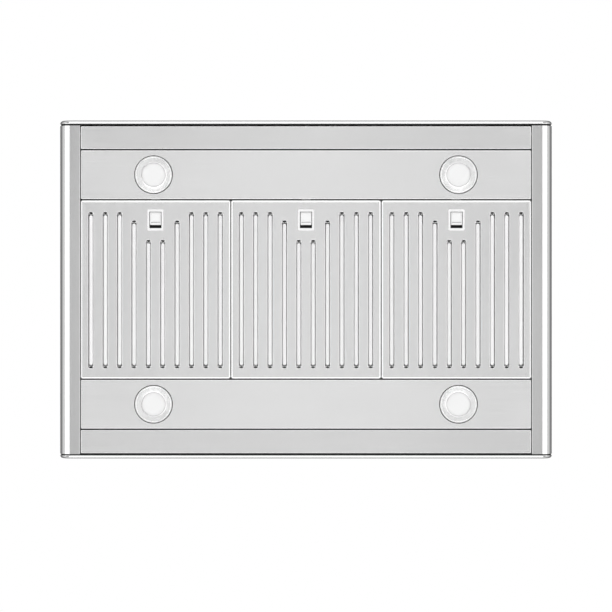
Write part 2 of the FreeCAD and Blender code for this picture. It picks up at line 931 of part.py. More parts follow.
def wiring_cover():
    """The lid on the underside of the wiring box."""
    piece = body("wiring_box_cover")
    low = -sheet_metal * 2 - box_tall
    prism(piece, "Z", low, low + sheet_metal, rectangle(box_x0, box_x1, box_y0, box_y1))


def hung_block(label, x, y, long, wide, tall):
    """A plain electrical block fixed under the top sheet, from its near corner."""
    piece = body(label)
    prism(piece, "Z", -sheet_metal - tall, -sheet_metal, rectangle(x, x + long, y, y + wide))


def capacitor():
    """The motor capacitor, on its side on the wiring box cover."""
    piece = body("capacitor")
    y = box_y1 - sheet_metal - can_gap - can_radius
    place(piece, box_x0 + block_edge, y, -sheet_metal - box_tall + can_radius)
    prism(piece, "X", 0, can_long, (0, 0, can_radius))


def screws(label, places, seat):
    """A set of pan-head screws, each a separate solid, with heads on top of a seat."""
    pairs = []
    for x, y in places:
        head = doc.addObject("Part::Cylinder", label + "_head")
        head.setExpression("Radius", screw_head.text)
        head.setExpression("Height", screw_rise.text)
        place(head, x, y, seat)
        shank = doc.addObject("Part::Cylinder", label + "_shank")
        shank.setExpression("Radius", screw_radius.text)
        shank.setExpression("Height", screw_length.text)
        place(shank, x, y, seat - screw_length)
        pair = doc.addObject("Part::Fuse", label + "_one")
        pair.Base = head
        pair.Tool = shank
        pairs.append(pair)
    group = doc.addObject("Part::Compound", label)
    group.Links = pairs
    finished.append(group)
    doc.recompute()


# Places that several pieces share
button_z = bottom + button_level
button_places = [button_pitch * (i - (button_count - 1) / 2) for i in range(button_count)]
box_x0 = -side + box_side
box_x1 = box_x0 + box_long
box_y0 = casing_front + box_front
box_y1 = box_y0 + box_wide
entry_x = (box_x0 + box_x1) / 2
entry_y = box_y0 + entry_front
inner_front = casing_front + strip_depth
inner_rear = casing_rear - strip_depth
screw_reach = duct_plate / 2 - collar_screw_edge
collar_screw_places = [
    (screw_reach * sx, duct_y + screw_reach * sy) for sx in (-1, 1) for sy in (-1, 1)]

outer_shell()
front_panel()
end_panel("rear_panel", rear, -1)
gasket_frame("front_gasket", front + end_depth, casing_front)
gasket_frame("rear_gasket", casing_rear, rear - end_depth)
tray("front_strip", casing_front, inner_front, strip_face)
tray("rear_strip", inner_rear, casing_rear, strip_face)
light_panel("front_light_panel", inner_front, -bay, -light_y)
light_panel("rear_light_panel", bay, inner_rear, light_y)
hinge_rod()

for filter_name, filter_x in (("left", -filter_pitch), ("middle", as_size(0)), ("right", filter_pitch)):
    filter_pieces(filter_name, filter_x)

light_pieces(1, -light_x, -light_y)
light_pieces(2, light_x, -light_y)
light_pieces(3, -light_x, light_y)
light_pieces(4, light_x, light_y)

blower_housing()
inlet_ring_piece("inlet_ring_left", -1)
inlet_ring_piece("inlet_ring_right", 1)
blower_wheel()
motor_shaft()
motor_body()
motor_bracket()

collar_plate()
duct_collar()
damper_pin()
inner_end = knuckle_inner + knuckle_long
outer_end = knuckle_outer - knuckle_long
damper_flap("damper_flap_front", -1, ((-knuckle_outer, -outer_end), (knuckle_inner, inner_end)))
damper_flap("damper_flap_rear", 1, ((-inner_end, -knuckle_inner), (outer_end, knuckle_outer)))

for button_number, button_x in enumerate(button_places, 1):
    push_button(button_number, button_x)
switch_block()
control_board()

wiring_box()
wiring_cover()
hung_block("terminal_block", box_x1 - block_edge - terminal_long, box_y0 + block_edge,
           terminal_long, terminal_wide, terminal_tall)
hung_block("led_driver", box_x0 + block_edge, box_y0 + driver_front,
           driver_long, driver_wide, driver_tall)
capacitor()

screws("collar_screws", collar_screw_places, sheet_metal)

doc.recompute()
for piece in finished:
    problems = [state for state in piece.State if state in ("Invalid", "Error")]
    if problems or piece.Shape.isNull() or not piece.Shape.isValid():
        raise RuntimeError(piece.Label + " did not build: " + str(piece.State))
for piece in finished:
    piece.Shape.exportStep("parts/" + piece.Label + ".step")
print(len(finished), "nodes")
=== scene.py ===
# %% [markdown]
# # An under cabinet range hood, seen from below
#
# The hood is a folded stainless steel casing that hangs under a cabinet. Its underside
# has two light panels with a row of three slotted grease filters between them.
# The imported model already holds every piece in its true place, so this lesson loads it
# first and then gives the pieces that show their folds, rolled slot edges and finishes.

import math

import bmesh
import bpy
from mathutils import Matrix, Vector


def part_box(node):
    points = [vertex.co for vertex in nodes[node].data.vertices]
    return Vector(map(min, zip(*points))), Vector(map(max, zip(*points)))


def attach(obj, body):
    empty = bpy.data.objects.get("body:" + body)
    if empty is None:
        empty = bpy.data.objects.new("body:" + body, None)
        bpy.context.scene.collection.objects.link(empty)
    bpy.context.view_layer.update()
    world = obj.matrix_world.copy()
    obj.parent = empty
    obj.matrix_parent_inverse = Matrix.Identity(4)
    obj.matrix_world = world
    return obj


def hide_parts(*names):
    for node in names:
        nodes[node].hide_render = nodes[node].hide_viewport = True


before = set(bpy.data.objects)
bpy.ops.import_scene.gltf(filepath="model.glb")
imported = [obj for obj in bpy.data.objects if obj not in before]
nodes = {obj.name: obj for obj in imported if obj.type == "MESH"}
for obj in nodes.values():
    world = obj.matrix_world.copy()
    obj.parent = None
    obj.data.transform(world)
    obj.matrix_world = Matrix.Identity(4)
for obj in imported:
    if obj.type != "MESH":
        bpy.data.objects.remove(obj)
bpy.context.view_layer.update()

# %% [markdown]
# ## Measures
#
# Every place comes from the frame, so the looks follow the design when it changes.
# The sizes that the boxes can't give, such as a fold radius, are named in metres where
# they are first needed.

# %% Measures from the frame
MM = 0.001
SHEET = 1.2 * MM
SAME_PLACE = 0.01 * MM
FILTERS = ("left", "middle", "right")
LAMPS = (1, 2, 3, 4)
BUTTONS = (1, 2, 3, 4, 5)
shell_low, shell_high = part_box("outer_shell")
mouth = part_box("front_strip")[1].x
panel_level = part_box("front_light_panel")[0].z
bottom = shell_low.z
print("casing", [round(v, 4) for v in (shell_high - shell_low)], "mouth", round(mouth * 2, 4))

# %% [markdown]
# ## Camera
#
# The hood is shown as a person would see it from the hob, looking straight up. A long
# lens keeps the outline nearly flat. The camera's up direction is the front of the hood,
# so the edge with the latches is at the top of the frame.

# %% Camera
VIEW_WIDTH = 0.9405
CAMERA_DROP = 3.5
CAMERA_REAR = 0.0254
SENSOR_WIDTH = 36
camera_data = bpy.data.cameras.new("camera")
camera_data.sensor_width = SENSOR_WIDTH
camera_data.lens = SENSOR_WIDTH * CAMERA_DROP / VIEW_WIDTH
camera = bpy.data.objects.new("camera", camera_data)
camera.location = (0, CAMERA_REAR, bottom - CAMERA_DROP)
camera.rotation_euler = (math.pi, 0, 0)
bpy.context.scene.collection.objects.link(camera)
bpy.context.scene.camera = camera
print("lens", round(camera_data.lens, 1), "mm")

# %% [markdown]
# ## Studio
#
# Polished metal shows its surroundings, so the studio is what shapes it. Four soft boxes
# stand round the lens and face up, with a gap in the middle, so the rounded edges of the
# casing mirror a bright band and the flats between them mirror the calmer floor. Four
# smaller lights face down and set how bright that floor is under the middle and the ends.
# The world is white overhead and pale from the horizon down, with a grey band between,
# because the outermost edges mirror that band and would melt into the white without it.

# %% World
scene = bpy.context.scene
scene.view_settings.view_transform = "Standard"
scene.view_settings.look = "None"
scene.view_settings.exposure = 0
scene.view_settings.gamma = 1
world = bpy.data.worlds.new("studio_white")
world.use_nodes = True
sky = world.node_tree
direction = sky.nodes.new("ShaderNodeTexCoord")
parts = sky.nodes.new("ShaderNodeSeparateXYZ")
height = sky.nodes.new("ShaderNodeMapRange")
height.inputs["From Min"].default_value = -1
tones = sky.nodes.new("ShaderNodeValToRGB")
SKY = [
    (0.0, 0.9), (0.46, 0.95), (0.60, 0.55), (0.74, 0.30), (0.90, 0.16), (0.955, 0.2),
    (0.965, 1.0),
]
for place, _ in SKY[1:-1]:
    tones.color_ramp.elements.new(place)
for element, (place, tone) in zip(tones.color_ramp.elements, SKY):
    element.position = place
    element.color = (tone, tone, tone, 1)
sky.links.new(direction.outputs["Generated"], parts.inputs["Vector"])
sky.links.new(parts.outputs["Z"], height.inputs["Value"])
sky.links.new(height.outputs["Result"], tones.inputs["Fac"])
sky.links.new(tones.outputs["Color"], sky.nodes["Background"].inputs["Color"])
sky.nodes["Background"].inputs["Strength"].default_value = 1.0
scene.world = world
print("sky tones:", len(tones.color_ramp.elements))


# %% Floor and soft boxes
def soft_light(name, place, aim, wide, tall, radiance):
    """A rectangular soft light at a place, turned to face a point, as bright as asked."""
    data = bpy.data.lights.new(name, "AREA")
    data.shape = "RECTANGLE"
    data.size = wide
    data.size_y = tall
    data.energy = radiance * math.pi * wide * tall
    lamp = bpy.data.objects.new(name, data)
    lamp.location = place
    lamp.rotation_euler = (Vector(aim) - Vector(place)).to_track_quat("-Z", "Y").to_euler()
    lamp.visible_camera = False
    bpy.context.scene.collection.objects.link(lamp)


FLOOR = bottom - 4.2
FLOOR_HALF = 6.0
floor_mesh = bmesh.new()
bmesh.ops.create_grid(floor_mesh, x_segments=1, y_segments=1, size=FLOOR_HALF)
bmesh.ops.translate(floor_mesh, verts=floor_mesh.verts[:], vec=(0, 0, FLOOR))
floor_data = bpy.data.meshes.new("floor")
floor_mesh.to_mesh(floor_data)
floor_mesh.free()
floor = bpy.data.objects.new("floor", floor_data)
scene.collection.objects.link(floor)
BOX_OUT = 1.75
BOX_DOWN = 1.9
BOX_LIGHT = 1.35
BOX_LONG, BOX_SHORT = 2.6, 2.2
WASH_OUT = 1.0
WASH_DOWN = 2.6
WASH_LIGHT = 0.72
WASH_SIZE = (1.2, 2.4)
POOL_OUT = 0.32
POOL_RISE = 0.8
POOL_LIGHT = 1.5
POOL_SIZE = (0.5, 1.8)
for name, x, y in (("left", -1, 0), ("right", 1, 0), ("front", 0, -1), ("rear", 0, 1)):
    place = (x * BOX_OUT, y * BOX_OUT, bottom - BOX_DOWN)
    box_size = (BOX_SHORT, BOX_LONG) if x == 0 else (BOX_LONG, BOX_SHORT)
    soft_light("soft_box_" + name, place, (0, 0, bottom), *box_size, BOX_LIGHT)
for name, way in (("left", -1), ("right", 1)):
    x = way * WASH_OUT
    soft_light("floor_wash_" + name, (x, 0, bottom - WASH_DOWN), (x, 0, FLOOR), *WASH_SIZE,
               WASH_LIGHT)
    x = way * POOL_OUT
    soft_light("floor_pool_" + name, (x, 0, FLOOR + POOL_RISE), (x, 0, FLOOR), *POOL_SIZE,
               POOL_LIGHT)
print("floor at", round(FLOOR, 3), "lights:", len(bpy.data.lights))

# %% [markdown]
# ## Finishes
#
# Stainless steel is a metal, so its colour is what it mirrors. Satin sheet is brushed
# along its length: noise stretched a hundredfold along one axis gives the fine lines,
# and it drives the colour, the roughness and a very shallow bump together.

# %% Node helpers
def new_material(name):
    """A new material, its node tree and the shader in it."""
    material = bpy.data.materials.new(name)
    material.use_nodes = True
    shader = material.node_tree.nodes["Principled BSDF"]
    return material, material.node_tree, shader


def stretched_noise(tree, scales, noise_scale, detail):
    """Noise on Object coordinates, stretched along the axes with a small scale."""
    coords = tree.nodes.new("ShaderNodeTexCoord")
    mapping = tree.nodes.new("ShaderNodeMapping")
    noise = tree.nodes.new("ShaderNodeTexNoise")
    mapping.inputs["Scale"].default_value = scales
    noise.inputs["Scale"].default_value = noise_scale
    noise.inputs["Detail"].default_value = detail
    tree.links.new(coords.outputs["Object"], mapping.inputs["Vector"])
    tree.links.new(mapping.outputs["Vector"], noise.inputs["Vector"])
    return noise.outputs["Fac"]


def ranged(tree, value, low, high):
    """A noise value spread between two numbers."""
    node = tree.nodes.new("ShaderNodeMapRange")
    node.inputs["From Min"].default_value = 0.3
    node.inputs["From Max"].default_value = 0.7
    node.inputs["To Min"].default_value = low
    node.inputs["To Max"].default_value = high
    tree.links.new(value, node.inputs["Value"])
    return node.outputs["Result"]


def shaded(tree, value, dark, light):
    """A noise value as a colour between two colours."""
    ramp = tree.nodes.new("ShaderNodeValToRGB")
    ramp.color_ramp.elements[0].position = 0.3
    ramp.color_ramp.elements[1].position = 0.7
    ramp.color_ramp.elements[0].color = (*dark, 1)
    ramp.color_ramp.elements[1].color = (*light, 1)
    tree.links.new(value, ramp.inputs["Fac"])
    return ramp.outputs["Color"]


def bumped(tree, shader, value, strength, distance):
    """A shallow bump from a noise value."""
    bump = tree.nodes.new("ShaderNodeBump")
    bump.inputs["Strength"].default_value = strength
    bump.inputs["Distance"].default_value = distance
    tree.links.new(value, bump.inputs["Height"])
    tree.links.new(bump.outputs["Normal"], shader.inputs["Normal"])


# %% Brushed, plated and painted metal
def brushed_steel(name, tone, rough, grain, contrast=0.03):
    """Stainless sheet brushed along one axis: X, Y or Z."""
    material, tree, shader = new_material(name)
    across = {"X": (1.2, 160, 160), "Y": (160, 1.2, 160), "Z": (160, 160, 1.2)}[grain]
    lines = stretched_noise(tree, across, 9.0, 3.0)
    cloud = stretched_noise(tree, (1, 1, 1), 5.0, 2.0)
    dark = [tone * (1 - contrast)] * 3
    light = [tone * (1 + contrast)] * 3
    tree.links.new(shaded(tree, lines, dark, light), shader.inputs["Base Color"])
    both = tree.nodes.new("ShaderNodeMath")
    both.operation = "ADD"
    tree.links.new(ranged(tree, lines, rough - 0.03, rough + 0.03), both.inputs[0])
    tree.links.new(ranged(tree, cloud, -0.02, 0.02), both.inputs[1])
    tree.links.new(both.outputs[0], shader.inputs["Roughness"])
    bumped(tree, shader, lines, 0.02, 0.0001)
    shader.inputs["Metallic"].default_value = 1
    return material


def plain_metal(name, tone, rough, speckle=0.06, size=400):
    """Bare or plated metal with a faint mottle."""
    material, tree, shader = new_material(name)
    mottle = stretched_noise(tree, (1, 1, 1), size, 3.0)
    dark = [c * (1 - speckle) for c in tone]
    light = [min(c * (1 + speckle), 1) for c in tone]
    tree.links.new(shaded(tree, mottle, dark, light), shader.inputs["Base Color"])
    tree.links.new(ranged(tree, mottle, rough - 0.05, rough + 0.05), shader.inputs["Roughness"])
    shader.inputs["Metallic"].default_value = 1
    return material


def galvanised_sheet(name):
    """Zinc-coated steel: broad crystals that each mirror a little differently."""
    material, tree, shader = new_material(name)
    coords = tree.nodes.new("ShaderNodeTexCoord")
    crystals = tree.nodes.new("ShaderNodeTexVoronoi")
    crystals.inputs["Scale"].default_value = 260
    tree.links.new(coords.outputs["Object"], crystals.inputs["Vector"])
    grey = tree.nodes.new("ShaderNodeRGBToBW")
    tree.links.new(crystals.outputs["Color"], grey.inputs["Color"])
    zinc = shaded(tree, grey.outputs["Val"], (0.50,) * 3, (0.58,) * 3)
    tree.links.new(zinc, shader.inputs["Base Color"])
    tree.links.new(ranged(tree, grey.outputs["Val"], 0.32, 0.5), shader.inputs["Roughness"])
    shader.inputs["Metallic"].default_value = 1
    return material


def moulded_plastic(name, colour, rough, grain=0.02, shine=0.5):
    """Moulded plastic with a fine eggshell surface."""
    material, tree, shader = new_material(name)
    fine = stretched_noise(tree, (1, 1, 1), 1800, 2.0)
    dark = [c * (1 - grain) for c in colour]
    light = [min(c * (1 + grain), 1) for c in colour]
    tree.links.new(shaded(tree, fine, dark, light), shader.inputs["Base Color"])
    tree.links.new(ranged(tree, fine, rough - 0.04, rough + 0.04), shader.inputs["Roughness"])
    shader.inputs["Specular IOR Level"].default_value = shine
    bumped(tree, shader, fine, 0.08, 0.0001)
    return material


# %% [markdown]
# Each finish gets one material, named for what it is on this hood. The casing is more
# polished than the satin panels, so the soft lights show in its rails as clear bands.

# %% The hood's finishes
rail_steel = brushed_steel("rail_steel", 0.64, 0.14, "Y", 0.010)
end_steel = brushed_steel("end_panel_steel", 0.66, 0.20, "X", 0.015)
# Same satin steel as the light panels but with a lower tone: the difference is painted shade on
# the strips.
strip_metal_painted_shade = brushed_steel("strip_metal_painted_shade", 0.68, 0.21, "X", 0.010)
panel_steel = brushed_steel("light_panel_steel", 0.76, 0.21, "X", 0.010)
filter_steel = brushed_steel("filter_steel", 0.71, 0.21, "Y", 0.010)
# A higher tone than the filter faces' steel: painted light for the brightness the troughs show
# behind the slots.
baffle_steel = brushed_steel("baffle_steel", 0.84, 0.34, "Y", 0.015)
button_steel = plain_metal("button_steel", (0.66,) * 3, 0.25)
bright_steel = plain_metal("bright_steel", (0.62, 0.62, 0.63), 0.18)
cast_aluminium = plain_metal("cast_aluminium", (0.58, 0.58, 0.59), 0.45, 0.1, 900)
trim_metal = plain_metal("light_trim_metal", (0.80,) * 3, 0.22, 0.02)
wheel_metal = plain_metal("wheel_metal", (0.60, 0.60, 0.61), 0.40)
galvanised = galvanised_sheet("galvanised_sheet")
gasket_black = moulded_plastic("gasket_black", (0.006,) * 3, 0.6, shine=0.3)
latch_white = moulded_plastic("latch_white", (0.66,) * 3, 0.4)
block_white = moulded_plastic("block_white", (0.74, 0.74, 0.70), 0.5)
# Real black plastic on the switch block and the button bezels; on the latch sheets the same
# near-black is painted shadow.
black_plastic_and_painted_shadow = moulded_plastic("black_plastic_and_painted_shadow", (0.008,) * 3, 0.5, shine=0.3)
board_green = moulded_plastic("board_green", (0.02, 0.14, 0.05), 0.4, 0.2)
motor_black = moulded_plastic("motor_enamel", (0.015,) * 3, 0.35)
diffuser = moulded_plastic("light_diffuser", (0.64,) * 3, 0.35, 0.01)
floor_white = moulded_plastic("floor_white", (0.82,) * 3, 0.9, 0.01)
floor.data.materials.append(floor_white)
print("finishes:", len(bpy.data.materials))

# %% [markdown]
# ## Tools for folded sheet
#
# A pressed sheet part is a stack of closed rings: the flat, then the fold, then the wall.
# One helper makes a ring by pulling the quarters of a circle apart, which gives a slot,
# a round hole or a rounded rectangle. Bridging the rings makes the folds, filling between
# rings makes a flat with holes, and Solidify gives the sheet its thickness.

# %% Rings, bridges and flats
def ring(bm, x0, x1, y0, y1, radius, z, segments=24):
    """A closed ring of edges round a rectangle with rounded corners."""
    step = math.pi / segments
    made = bmesh.ops.create_circle(bm, segments=segments, radius=radius / math.cos(step))
    bmesh.ops.rotate(bm, verts=made["verts"], cent=(0, 0, 0), matrix=Matrix.Rotation(step, 3, "Z"))
    quarters = []
    for sign_x, middle_x in ((-1, x0 + radius), (1, x1 - radius)):
        for sign_y, middle_y in ((-1, y0 + radius), (1, y1 - radius)):
            quarter = [v for v in made["verts"] if v.co.x * sign_x > 0 and v.co.y * sign_y > 0]
            quarters.append((quarter, (middle_x, middle_y, z)))
    for quarter, move in quarters:
        bmesh.ops.translate(bm, verts=quarter, vec=move)
    return sorted({e for v in made["verts"] for e in v.link_edges}, key=lambda e: e.index)


def bridge(bm, rings):
    """Skins from each ring to the next."""
    for near, far in zip(rings, rings[1:]):
        bmesh.ops.bridge_loops(bm, edges=near + far)


def flat_between(bm, rings):
    """Fills the flat between an outer ring and the rings inside it."""
    edges = [e for one in rings for e in one]
    bmesh.ops.triangle_fill(bm, use_beauty=True, edges=edges)


def fold(bm, x0, x1, y0, y1, radius, z, bend, wall, up=1, segments=24, steps=5):
    """The rings of a fold round a flat: out along the flat, round the bend, up the wall."""
    rings = []
    for i in range(steps + 1):
        turn = math.pi / 2 * i / steps
        inset = bend * (1 - math.sin(turn))
        rise = bend * (1 - math.cos(turn))
        rings.append(ring(bm, x0 + inset, x1 - inset, y0 + inset, y1 - inset,
                          radius - inset, z + up * rise, segments))
    if wall > bend:
        rings.append(ring(bm, x0, x1, y0, y1, radius, z + up * wall, segments))
    bridge(bm, rings)
    return rings


def rolled_hole(bm, x0, x1, y0, y1, radius, z, roll, depth, segments=24, steps=4):
    """The rings of a hole whose edge is rolled inwards."""
    rings = []
    for i in range(steps + 1):
        turn = math.pi / 2 * i / steps
        out = roll * (1 - math.sin(turn))
        rings.append(ring(bm, x0 - out, x1 + out, y0 - out, y1 + out,
                          radius + out, z + roll * (1 - math.cos(turn)), segments))
    rings.append(ring(bm, x0, x1, y0, y1, radius, z + depth, segments))
    bridge(bm, rings)
    return rings


# %% [markdown]
# A flat shares its edge points with the bend beside it, so plain smooth shading bleeds the
# bend's turn across the whole flat. Weighted normals give the large faces the say, which
# keeps the sheet flat and the bend round, as on real folded steel.

# %% Finishing a piece
def settled(piece):
    """Turns a piece's modifiers into its mesh."""
    depsgraph = bpy.context.evaluated_depsgraph_get()
    before = piece.data
    piece.data = bpy.data.meshes.new_from_object(piece.evaluated_get(depsgraph))
    piece.modifiers.clear()
    bpy.data.meshes.remove(before)
    return piece.data


def finish_piece(bm, name, body, material, replaced, thickness=0, bevel=0, sharp=32):
    """Makes the mesh a piece: thickness, small edge bevels, smooth shading and its place."""
    bmesh.ops.remove_doubles(bm, verts=bm.verts[:], dist=0.000001)
    bmesh.ops.recalc_face_normals(bm, faces=bm.faces[:])
    mesh = bpy.data.meshes.new(name)
    bm.to_mesh(mesh)
    bm.free()
    piece = bpy.data.objects.new(name, mesh)
    bpy.context.scene.collection.objects.link(piece)
    if thickness:
        solid = piece.modifiers.new("thickness", "SOLIDIFY")
        solid.thickness = thickness
        solid.offset = -1
        solid.use_even_offset = True
    if bevel:
        edge = piece.modifiers.new("edges", "BEVEL")
        edge.width = bevel
        edge.segments = 2
        edge.limit_method = "ANGLE"
        edge.angle_limit = math.radians(40)
    shaped = settled(piece)
    shaped.shade_smooth()
    shaped.set_sharp_from_angle(angle=math.radians(sharp))
    flats = piece.modifiers.new("flats", "WEIGHTED_NORMAL")
    flats.mode = "FACE_AREA"
    flats.keep_sharp = True
    final = settled(piece)
    final.name = name
    final.materials.clear()
    final.materials.append(material)
    if replaced:
        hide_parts(replaced)
    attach(piece, body)
    print(name, len(final.polygons), "faces")


# %% [markdown]
# ## The casing
#
# The casing is one sheet wrapped round the top and the sides, with generous round lower
# corners and narrow lips that turn in and up. The sheet's profile is a chain of edges.
# Extruding it along the depth makes the wrap, and bevelling the edges that run along the
# depth turns each sharp corner into a true bend.

# %% Wrapped shell
CORNER = 17 * MM
LIP_BEND = 0.9 * MM
TOP_BEND = 2.0 * MM
LIP_RISE = 10 * MM
FRONT_SETBACK = 1.0 * MM


def profile_wrap(points, y0, y1):
    """A sheet made by extruding a chain of points, given in X and Z, along Y."""
    bm = bmesh.new()
    chain = [bm.verts.new((x, y0, z)) for x, z in points]
    edges = [bm.edges.new(pair) for pair in zip(chain, chain[1:])]
    grown = bmesh.ops.extrude_edge_only(bm, edges=edges)
    moved = [g for g in grown["geom"] if isinstance(g, bmesh.types.BMVert)]
    bmesh.ops.translate(bm, verts=moved, vec=(0, y1 - y0, 0))
    return bm


def bend_at(bm, spots, radius, segments):
    """Rounds the edges that run along Y at the given X and Z."""
    found = []
    for e in bm.edges:
        a, b = ((v.co.x, v.co.z) for v in e.verts)
        if any(math.dist(a, spot) < SAME_PLACE and math.dist(b, spot) < SAME_PLACE
               for spot in spots):
            found.append(e)
    bmesh.ops.bevel(bm, geom=found, offset=radius, offset_type="OFFSET", affect="EDGES",
                    segments=segments, profile=0.5, material=-1)


side = shell_high.x
shell = profile_wrap([
    (-mouth, bottom + LIP_RISE), (-mouth, bottom), (-side, bottom), (-side, 0),
    (side, 0), (side, bottom), (mouth, bottom), (mouth, bottom + LIP_RISE),
], shell_low.y + FRONT_SETBACK, shell_high.y)
bend_at(shell, [(-side, bottom), (side, bottom)], CORNER, 20)
bend_at(shell, [(-mouth, bottom), (mouth, bottom)], LIP_BEND, 6)
bend_at(shell, [(-side, 0), (side, 0)], TOP_BEND, 6)
finish_piece(shell, "casing_wrap", "casing", rail_steel, "outer_shell",
             thickness=SHEET, bevel=0.25 * MM)

# %% [markdown]
# ## End panels and gaskets
#
# A folded panel closes each end, with the same profile as the wrap. Its edge is bent
# back, and a black gasket keeps it off the casing, which reads as a thin black line.
# Both start as a filled profile that is extruded. The gasket's two end faces are inset
# and removed, and bridging the openings makes it a frame.

# %% End panels
PANEL_BEND = 4.6 * MM
FRONT_LAP = 1.3 * MM
REAR_LAP = 0.8 * MM
GASKET_BAND = 12 * MM
GASKET_SHY = 1.3 * MM
BUTTON_HOLE = 6.3 * MM
HOLE_SEGMENTS = 48


def end_profile(bm, y, inset):
    """A face with the casing's end profile, moved in from the edge."""
    spots = [(-side + inset, -inset), (-side + inset, bottom + inset),
             (side - inset, bottom + inset), (side - inset, -inset)]
    return bm.faces.new([bm.verts.new((x, y, z)) for x, z in spots])


def extruded(bm, depth):
    """Extrudes every face of the mesh along Y."""
    grown = bmesh.ops.extrude_face_region(bm, geom=bm.faces[:])
    moved = [g for g in grown["geom"] if isinstance(g, bmesh.types.BMVert)]
    bmesh.ops.translate(bm, verts=moved, vec=(0, depth, 0))


def gasket_band(y0, y1):
    """A frame with the casing's end profile, a little smaller all round."""
    bm = bmesh.new()
    end_profile(bm, y0, GASKET_SHY)
    extruded(bm, y1 - y0)
    edge = side - GASKET_SHY
    floor_edge = bottom + GASKET_SHY
    bend_at(bm, [(-edge, floor_edge), (edge, floor_edge)], CORNER - GASKET_SHY, 20)
    bm.normal_update()
    ends = [f for f in bm.faces if abs(f.normal.y) > 0.9]
    bmesh.ops.inset_individual(bm, faces=ends, thickness=GASKET_BAND - GASKET_SHY,
                               use_even_offset=True)
    rims = [e for f in ends for e in f.edges]
    bmesh.ops.delete(bm, geom=ends, context="FACES_ONLY")
    bmesh.ops.bridge_loops(bm, edges=rims)
    return bm


def lying_at(items, y):
    """The faces or edges that lie wholly at one Y."""
    return [item for item in items if all(abs(v.co.y - y) < SAME_PLACE for v in item.verts)]


def end_cover(face_y, inner_y, holes=()):
    """A panel folded back all round, with round holes given as x, z and radius."""
    bm = bmesh.new()
    end_profile(bm, face_y, 0)
    extruded(bm, inner_y - face_y)
    bend_at(bm, [(-side, bottom), (side, bottom)], CORNER, 20)
    bmesh.ops.delete(bm, geom=lying_at(bm.faces, inner_y), context="FACES_ONLY")
    rim = lying_at(bm.edges, face_y)
    bmesh.ops.bevel(bm, geom=rim, offset=PANEL_BEND, offset_type="OFFSET", affect="EDGES",
                    segments=5, profile=0.5, material=-1)
    front = lying_at(bm.faces, face_y)
    outline = [e for f in front for e in f.edges]
    bmesh.ops.delete(bm, geom=front, context="FACES_ONLY")
    upright = Matrix.Rotation(math.pi / 2, 4, "X")
    for x, z, radius in holes:
        place = Matrix.Translation((x, face_y, z)) @ upright
        made = bmesh.ops.create_circle(bm, segments=HOLE_SEGMENTS, radius=radius, matrix=place)
        outline += list({e for v in made["verts"] for e in v.link_edges})
    bmesh.ops.triangle_fill(bm, use_beauty=True, edges=outline)
    return bm


def button_holes():
    """The places of the push buttons' holes in the front panel."""
    holes = []
    for number in BUTTONS:
        low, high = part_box("push_button_" + str(number))
        middle = (low + high) / 2
        holes.append((middle.x, middle.z, BUTTON_HOLE))
    return holes


front_low, front_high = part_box("front_panel")
rear_low, rear_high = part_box("rear_panel")
for end, face_y, inner_y, holes in (
        ("front", front_low.y, front_high.y + FRONT_LAP, button_holes()),
        ("rear", rear_high.y, rear_low.y - REAR_LAP, ())):
    finish_piece(end_cover(face_y, inner_y, holes), end + "_end_panel", "casing",
                 end_steel, end + "_panel", thickness=SHEET, bevel=0.2 * MM)
    low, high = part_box(end + "_gasket")
    finish_piece(gasket_band(low.y, high.y), end + "_black_gasket", "casing",
                 gasket_black, end + "_gasket", bevel=0.2 * MM)

# %% [markdown]
# ## Strips and light panels
#
# Four trays cross the mouth of the casing. Each is a flat with a fold all round, so the
# joints between them are thin dark grooves with a bright line where the bend catches
# the light. The two light panels have a round opening for each lamp.

# %% Trays
FOLD = 0.9 * MM
TRAY_CORNER = 1.3 * MM
JOINT_GAP = 1.0 * MM
FRONT_GAP = 2.1 * MM
REAR_GAP = 1.2 * MM
LAMP_CLEARANCE = 0.4 * MM
LAMP_HOLE_ROLL = 0.5 * MM
LAMP_HOLE_DEPTH = 1.5 * MM


def tray(node, name, material, holes=(), front_gap=JOINT_GAP, rear_gap=JOINT_GAP):
    """A folded tray in place of a CAD tray, with round holes given as x, y and radius."""
    low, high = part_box(node)
    bm = bmesh.new()
    rings = fold(bm, low.x + JOINT_GAP, high.x - JOINT_GAP, low.y + front_gap, high.y - rear_gap,
                 TRAY_CORNER, low.z, FOLD, high.z - low.z)
    inner = [rings[0]]
    for x, y, radius in holes:
        rim = rolled_hole(bm, x - radius, x + radius, y - radius, y + radius, radius,
                          low.z, LAMP_HOLE_ROLL, LAMP_HOLE_DEPTH, 64)
        inner.append(rim[0])
    flat_between(bm, inner)
    finish_piece(bm, name, "casing", material, node, thickness=SHEET)


def light_holes(numbers):
    """The places and radius of the holes for some of the lights."""
    holes = []
    for number in numbers:
        low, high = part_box("light_can_" + str(number))
        middle = (low + high) / 2
        holes.append((middle.x, middle.y, (high.x - low.x) / 2 + LAMP_CLEARANCE))
    return holes


tray("front_strip", "front_cover_strip", strip_metal_painted_shade, front_gap=FRONT_GAP)
tray("rear_strip", "rear_cover_strip", strip_metal_painted_shade, rear_gap=REAR_GAP)
tray("front_light_panel", "front_lamp_panel", panel_steel, light_holes((1, 2)))
tray("rear_light_panel", "rear_lamp_panel", panel_steel, light_holes((3, 4)))

# %% [markdown]
# ## Filter faces
#
# A baffle filter is a stainless tray with ten long slots. Each slot's edge is rolled in,
# which stiffens the sheet and lets grease run back, and it shows as a bright line round
# a shadow. The slots beside the latch are shorter to leave room for it. A shallow crease
# runs along the front fold, and a window takes the latch.

# %% Slot layout
SLOT_PAIRS = 5
SLOT_PITCH = 22.1 * MM
SLOT_HALF = 3.8 * MM
SLOT_ROLL = 0.9 * MM
SLOT_DEPTH = 3.2 * MM
SLOT_FRONT = 18.5 * MM
SLOT_REAR = 16.5 * MM
SLOT_SHORTER = {0: 43 * MM, 1: 13 * MM}


